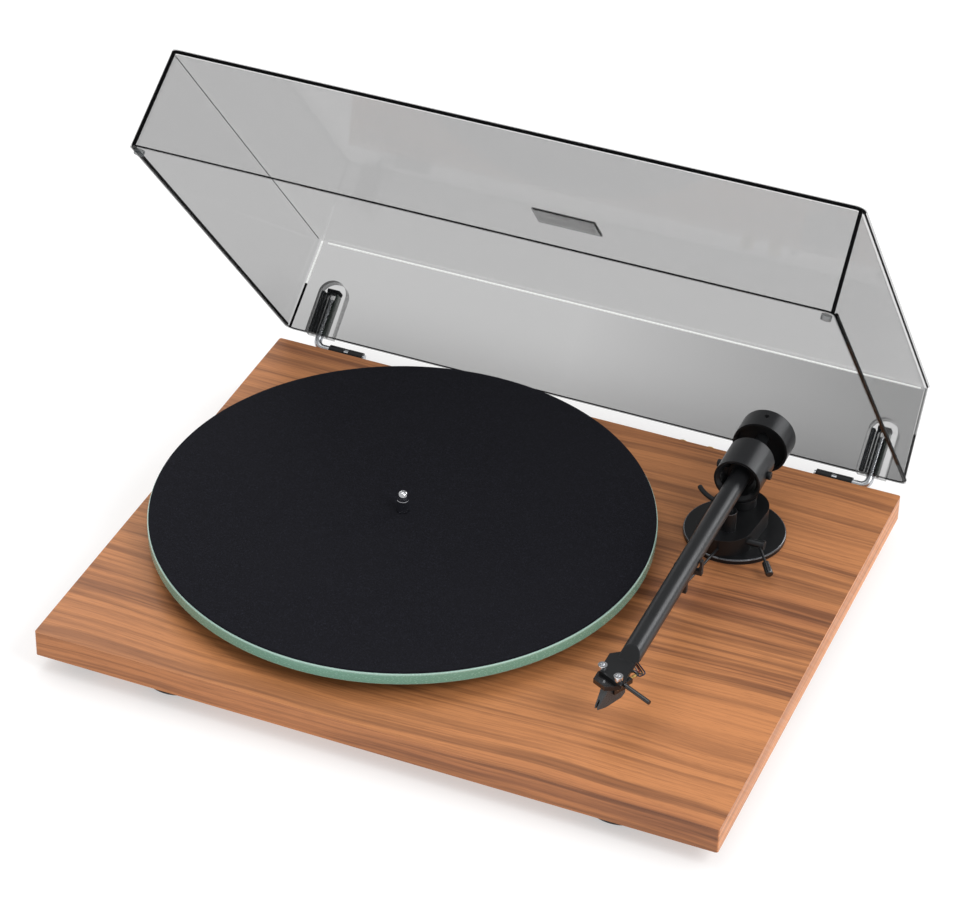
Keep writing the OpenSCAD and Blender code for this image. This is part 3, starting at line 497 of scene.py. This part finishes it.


# ---------------------------------------------------------------- CAD nodes

# nodes seen close up: material, width of the eased edges in mm and, on some, a lighter material for the eased
# edges, a painted highlight
EASED = {
    "plinth": ("walnut", 0.5),
    "bottom_cover": ("black_plastic", 0.2),
    "glass_platter": ("platter_glass", 0.3),
    "sub_platter": ("black_plastic", 0.3),
    "motor": ("steel", 0.3),
    "switch_housing": ("black_plastic", 0.2),
    "power_rocker": ("gloss_black", 0.2),
    "terminal_panel": ("black_plastic", 0.2),
    "power_socket": ("black_plastic", 0.2),
    "ground_post": ("chrome", 0.15),
    "arm_base": ("black_metal", 0.25, "polished_edge"),
    "arm_block": ("black_metal", 0.3, "polished_edge"),
    "arm_post": ("black_metal", 0.2),
    "lift_column": ("black_metal", 0.2, "polished_edge"),
    "lift_bar": ("black_metal", 0.2),
    "lift_lever": ("tube_metal", 0.12),
    "lift_knob": ("gloss_black", 0.15),
    "armrest_cradle": ("black_plastic", 0.25),
    "bearing_barrel": ("tube_metal", 0.3),
    "side_screws": ("black_metal", 0.15),
    "pivot_block": ("black_metal", 0.2),
    "weight_rod": ("tube_metal", 0.2),
    "counterweight": ("tube_metal", 0.35),
    "arm_tube": ("tube_metal", 0.12),
    "headshell": ("black_metal", 0.2),
    "finger_lift": ("gloss_black", 0.15),
    "cartridge_screws": ("chrome", 0.15),
    "cartridge_body": ("gloss_black", 0.2),
    "stylus": ("smoke_plastic", 0.2),
}
# nodes that keep their CAD mesh, but not the material that their slot names
OWN_LOOK = {"armrest_rod": "tube_metal"}
for side in ("left", "right"):
    EASED[f"foot_front_{side}"] = EASED[f"foot_rear_{side}"] = ("foot_rubber", 0.4)
    EASED[f"hinge_bracket_{side}"] = ("black_metal", 0.25)
    EASED[f"phono_socket_{side}"] = ("brass", 0.12)
    OWN_LOOK[f"hinge_socket_{side}"] = "boss_clear"
for node, o in frame["nodes"].items():
    if node in EASED:
        bevelled(node, *EASED[node])
    else:
        o.data.materials.clear()
        o.data.materials.append(MATS[OWN_LOOK.get(node, SLOTS[node])])


def spindle_post():
    """The spindle: the bearing's shaft, a shoulder up through the glass, and a domed, tapered nose."""
    low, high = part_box("spindle")
    c = Vector(((low.x + high.x) / 2, (low.y + high.y) / 2, 0.0))
    foot, top = low.z / MM, high.z / MM
    shaft_r, shoulder_r, spindle_r = 5, 4.2, 3.6
    shaft_top, shoulder_top = 32.7, 45.0
    # how far inside the spindle's radius, and how far below its top
    nose = [(0, 5.8), (0.12, 5.6), (0.12, 5.3), (0.25, 4.2), (0.5, 2.8), (0.85, 1.6),
            (1.4, 0.7), (2.2, 0.2), (3.0, 0.02)]
    profile = [(0, foot), (shaft_r - 0.4, foot), (shaft_r, foot + 0.4),
               (shaft_r, shaft_top), (shoulder_r, shaft_top + 0.5),
               (shoulder_r, shoulder_top - 0.4), (shoulder_r - 0.2, shoulder_top - 0.1),
               (spindle_r, shoulder_top),
               *[(spindle_r - inside, top - below) for inside, below in nose], (0, top)]
    o = revolve("spindle_post", profile, c, Vector((0, 0, 1)), "chrome", "platter", "chrome", 72)
    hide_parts("spindle")


spindle_post()


# ---------------------------------------------------------------- felt mat

def felt_mat():
    """The mat as one laid sheet: a matted surface that is never quite flat, and a cut edge gone soft."""
    hole_r = 3.75 * MM
    lip = 0.22 * MM  # how far the top's edge stands inside the outline
    dip = 0.05 * MM  # the surface's deepest hollow
    fray = 0.06 * MM
    rings, steps = 84, 360
    low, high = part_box("felt_mat")
    outer, thick = (high.x - low.x) / 2, high.z - low.z
    c = Vector(((low.x + high.x) / 2, (low.y + high.y) / 2, low.z))
    rng = random.Random(7)
    waves = [(rng.uniform(12, 40), rng.uniform(0, 6.3), rng.uniform(0.3, 1)) for _ in range(7)]
    bm = bmesh.new()

    def ring(r, z, frayed=False):
        out = []
        for j in range(steps):
            a = 2 * math.pi * j / steps
            rr = r - fray * (1 + sum(w * math.sin(k * a + f) for k, f, w in waves) / 4) if frayed else r
            out.append(bm.verts.new(c + Vector((rr * math.cos(a), rr * math.sin(a), z))))
        return out

    top = []
    for i in range(rings + 1):
        r = hole_r + (outer - hole_r) * (i / rings) ** 0.98
        top.append(ring(min(r, outer - lip), thick, frayed=i == rings))
    for row in top[:-1]:
        for v in row:
            q = v.co / MM
            wander = 2 * math.sin(q.y * 0.17)
            v.co.z -= dip * (0.5 + 0.5 * math.sin(q.x * 0.31 + wander) * math.cos(q.y * 0.27))
    edge = [ring(outer, thick * 0.72, True), ring(outer, thick * 0.3, True), ring(outer - 0.2 * MM, 0.0, True)]
    hole = ring(hole_r, 0.0)
    rows = [hole, *top, *edge, hole]
    for a, b in zip(rows, rows[1:]):
        bridge(bm, a, b)
    bmesh.ops.recalc_face_normals(bm, faces=bm.faces)
    o = add("felt_sheet", made("felt_sheet", bm, 70), "felt", "platter", "felt")
    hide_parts("felt_mat")


felt_mat()


# ---------------------------------------------------------------- dust cover

def to_lid(v):
    """A place in the frame, in the lid's own millimetres."""
    c, s = math.cos(LID_OPEN), math.sin(LID_OPEN)
    y, z = v.y / MM - SHIFT_Y - HINGE_Y, v.z / MM - HINGE_Z
    return Vector((v.x / MM, y * c - z * s, y * s + z * c))


def cover():
    """The cover's shell. From one view, its front and right walls are given less tint than its top, painted
    light, and its rear wall more, painted shade that deepens towards the right.
    """
    # material numbers: the acrylic as it is, its painted-shade copy for the rear wall, its painted-light copy
    # for the front and right walls
    clear, rear, thin = range(3)
    mesh, bm = cad_copy("dust_cover", 0.5)
    for f in bm.faces:
        middle = f.calc_center_median()
        p = to_lid(middle)
        n = to_lid(middle + f.normal * MM) - p
        if p.z > RIM_Z + LID_H - LID_T - 0.6 and abs(n.z) > 0.8:
            f.material_index = clear
        elif abs(n.y) > abs(n.x):
            f.material_index = thin if p.y < -LID_D / 2 else rear
        else:
            f.material_index = thin if p.x > 0 else clear
    bm.to_mesh(mesh)
    bm.free()
    soften(mesh, 25)
    o = add("cover_shell", mesh, "clear_acrylic", "lid", "clear_acrylic", "acrylic_rear_painted_shade", "acrylic_painted_light")
    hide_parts("dust_cover")


cover()


def lid_line(name, points, radius_mm, material):
    tube(name, [on_lid(*p) for p in points], radius_mm, material, "lid", "clear_acrylic", 10)


def lid_edges():
    """Where light is caught inside the cover's edges it leaves dark lines, and a bright one along the rear.
    These are painted in as thin rods: the dark ones painted shade, the bright and grey ones painted
    highlights, the bright one glowing.
    """
    half_w, mid = LID_W / 2, LID_T / 2
    top_z = RIM_Z + LID_H - mid
    heights = (RIM_Z + 0.9, RIM_Z + LID_H / 2, top_z)
    x_top, y_rear_top = half_w - LID_DRAFT - mid, -LID_DRAFT - mid
    ahead, behind = 12 - LID_D, -10  # ends of the lines along the top's sides

    def corner(sx, rear, z, degrees=45):
        """A point in the middle of the wall, degrees round a corner from the front or rear wall."""
        lean = (z - RIM_Z) / LID_H * LID_DRAFT
        r, a, sy = LID_R - mid, math.radians(degrees), 1 if rear else -1
        centre_y = -LID_R - lean if rear else -LID_D + LID_R + lean
        x = sx * (half_w - LID_R - lean) + sx * r * math.sin(a)
        return x, centre_y + sy * r * math.cos(a), z

    def across(rear, z):
        """A line along the front or rear wall that turns both its corners."""
        left, right = ([corner(sx, rear, z, degrees) for degrees in (0, 22, 45, 67, 90)] for sx in (-1, 1))
        return left[::-1] + right

    lid_line("lid_line_front_top", across(False, top_z), 1.05, "painted_shade_black")
    lid_line("lid_line_rear_top", [(-half_w + 9, y_rear_top, top_z), (half_w - 9, y_rear_top, top_z)], 0.5,
             "lid_edge_painted_highlight")
    lid_line("lid_line_left_top", [(-x_top, ahead, top_z), (-x_top, behind, top_z)], 0.3, "lid_edge_painted_grey_highlight")
    lid_line("lid_line_right_top", [(x_top, ahead, top_z), (x_top, behind, top_z)], 0.6, "painted_shade_black")
    for sx, side, upper in ((-1, "left", "lid_edge_painted_highlight"), (1, "right", "lid_edge_painted_grey_highlight")):
        lid_line(f"lid_line_front_{side}", [corner(sx, False, z) for z in heights], 1.1, "painted_shade_black")
        rear = [corner(sx, True, z) for z in heights]
        lid_line(f"lid_line_rear_{side}", rear[:2], 0.8, "painted_shade_black")
        lid_line(f"lid_line_rear_{side}_upper", rear[1:], 0.6, upper)
        x, z = sx * (half_w - mid), RIM_Z + 1.2
        lid_line(f"lid_line_rim_{side}", [(x, -LID_D + 6, z), (x, -6, z)], 1.17, "painted_shade_black")
    lid_line("lid_line_rim_front", across(False, RIM_Z + 0.6), 0.5, "painted_shade_black")
    lid_line("lid_line_rim_rear", across(True, RIM_Z + 0.6), 0.45, "painted_shade_black")


def plate_edges():
    """The blank plate's two dark edges, painted shade as thin dark rods."""
    x0, x1 = -18.4, 21.6
    y0, y1 = -LID_D + 143.6, -LID_D + 165.5
    z = RIM_Z + LID_H + 0.7
    lid_line("plate_line_front", [(x0 + 1, y0 + 0.6, z), (x1 - 0.6, y0 + 0.6, z)], 0.5, "painted_shade_black")
    lid_line("plate_line_right", [(x1 - 0.7, y0 + 0.8, z), (x1 - 0.7, y1 - 1, z)], 0.5, "painted_shade_black")


lid_edges()
plate_edges()


def boss_painted_shade():
    """Dark slabs inside each clear boss round the steel rod, painted shade: two walls, a cap and a dark flank.
    """
    boss_x = 184.8
    front_y, wall_y, cap_y = -4.4, 3.2, 3.4

    def slab(name, x0, x1, y1, z0, z1, material, ease):
        bm = bmesh.new()
        bmesh.ops.create_cube(bm, size=1.0)
        for v in bm.verts:
            q = v.co
            v.co = on_lid(x0 + (q.x + 0.5) * (x1 - x0), front_y + (q.y + 0.5) * (y1 - front_y),
                          z0 + (q.z + 0.5) * (z1 - z0))
        bmesh.ops.bevel(bm, geom=bm.edges, offset=ease * MM, segments=2, profile=0.5, affect="EDGES")
        add(name, made(name, bm), material, "lid", "clear_acrylic")

    for sx, side in ((-1, "left"), (1, "right")):
        x, z = sx * boss_x, RIM_Z
        slab(f"boss_painted_shade_flank_{side}", x - 7.6, x - 4.9, wall_y, z + 0.6, z + 29, "boss_painted_shade_smoke", 0.6)
        slab(f"boss_painted_shade_inner_{side}", x - 3.7, x - 2.9, wall_y, z + 0.4, z + 28.6, "boss_painted_shade_smoke", 0.25)
        slab(f"boss_painted_shade_outer_{side}", x + 3.0, x + 4.3, wall_y, z + 0.4, z + 28.6, "boss_painted_shade_green", 0.25)
        slab(f"boss_painted_shade_cap_{side}", x - 3.9, x + 4.4, cap_y, z + 28.9, z + 31.3, "painted_shade_black", 0.4)


boss_painted_shade()


# ---------------------------------------------------------------- small arm parts

def signal_leads():
    """A clip, a sleeve and a lead for each of the cartridge's four pins, led to the tube's open end."""
    pitch = 4.0
    pin_z = SHELL_Z - 1.5
    for i, code in enumerate(("8A8A8C", "5A1F1B", "1E2A22", "1B2236")):
        colour = f"lead_colour_{i}"
        MATS[colour] = painted(colour, code, 0.4, spread=0.12, bump=0.1)
        u, low = (i - 1.5) * pitch, i % 2
        tube(f"lead_clip_{i}", [on_shell(u, 11.2 + 0.8 * k, pin_z) for k in range(5)], 0.85,
             "brass", "arm_wand", "brass", 12)
        tube(f"lead_sleeve_{i}", [on_shell(u, 13.6 + 0.5 * k, pin_z) for k in range(4)], 1.0,
             "black_plastic", "arm_wand", "black_plastic", 12)
        bend = on_shell(u * 0.35 + 6.8, 15.6 + i * 0.7, SHELL_Z - 1.2 + 0.8 * low)
        end = at(PIVOT_X - 1.8 + 1.2 * i, PIVOT_Y - TUBE_LEN + 6, AXIS_Z - 4.4 + 0.3 * low)
        path = smooth_path([on_shell(u, 14.4, pin_z), on_shell(u + 1.4, 15.4, SHELL_Z - 2.2), bend,
                            bend * 0.5 + end * 0.5 + Vector((1.2, 0, -1)) * MM, end])
        tube(f"lead_wire_{i}", path, 0.42, colour, "arm_wand", "black_plastic", 10)


def rest_cap():
    """A dark cap on the front end of the thin rod that carries the arm's rest."""
    near_end = 2.2 * MM
    points = [v.co for v in frame["nodes"]["armrest_rod"].data.vertices]
    rear, front = max(points, key=lambda p: p.y), min(points, key=lambda p: p.y)
    end = [p for p in points if (p - front).length < near_end]
    profile = [(0, -2.6), (1.25, -2.6), (1.35, -2.3), (1.35, -0.1), (1.15, 0.25), (0, 0.3)]
    middle = sum(end, Vector()) / len(end)
    revolve("rest_cap", profile, middle, front - rear, "black_plastic", "chassis", "black_plastic", 40)


signal_leads()
rest_cap()


# ---------------------------------------------------------------- floor, light, camera

def floor():
    """Plain pale paper that gives off a little light of its own, so that it comes out white."""
    mesh = bpy.data.meshes.new("floor")
    bm = bmesh.new()
    bmesh.ops.create_grid(bm, x_segments=2, y_segments=2, size=9.0)
    bm.to_mesh(mesh)
    bm.free()
    o = bpy.data.objects.new("floor", mesh)
    SCENE.collection.objects.link(o)
    t = Tree("floor_paper")
    t.set(Base_Color=(0.55, 0.55, 0.55, 1), Roughness=0.9, Specular_IOR_Level=0.1)
    t.set(Emission_Color=(1, 1, 1, 1), Emission_Strength=0.46)
    mesh.materials.append(t.mat)


def area(name, place, target, size, power):
    """A rectangular area light at place that faces target."""
    light = bpy.data.lights.new(name, "AREA")
    light.shape = "RECTANGLE"
    light.size, light.size_y = size
    light.energy = power
    o = bpy.data.objects.new(name, light)
    SCENE.collection.objects.link(o)
    o.location = place
    o.rotation_euler = (Vector(target) - Vector(place)).to_track_quat("-Z", "Y").to_euler()


def world():
    w = bpy.data.worlds.new("studio")
    w.use_nodes = True
    background = w.node_tree.nodes["Background"]
    background.inputs["Color"].default_value = (1, 1, 1, 1)
    background.inputs["Strength"].default_value = 0.62
    SCENE.world = w


def camera():
    azimuth, elevation, roll = (math.radians(a) for a in (21.997, 36.05, 1.229))
    place = Vector((0.60933, -1.53868, 1.29445))
    level = math.cos(elevation)
    back = Vector((math.sin(azimuth) * level, -math.cos(azimuth) * level, math.sin(elevation)))
    right = Vector((0, 0, 1)).cross(back).normalized()
    up = back.cross(right)
    x = right * math.cos(roll) + up * math.sin(roll)
    y = up * math.cos(roll) - right * math.sin(roll)
    data = bpy.data.cameras.new("camera")
    data.sensor_width, data.lens = 36.0, 131.08
    data.clip_start, data.clip_end = 0.05, 60
    o = bpy.data.objects.new("camera", data)
    SCENE.collection.objects.link(o)
    turn = Matrix((x, y, back)).transposed().to_4x4()
    turn.translation = place
    o.matrix_world = turn
    SCENE.camera = o


floor()
world()
area("key", (1.5, -0.5, 1.5), (0.05, 0, 0.05), (1.0, 1.0), 19)
area("top", (-0.4, 0.3, 1.9), (0, 0, 0.05), (1.6, 1.2), 15)
area("rear_right", (1.0, 1.5, 0.75), (0.1, 0, 0.05), (0.9, 0.9), 15)
area("rear_left", (-1.4, 1.2, 0.9), (0, 0, 0.05), (0.8, 0.8), 5)
camera()
SCENE.view_settings.view_transform = "Standard"
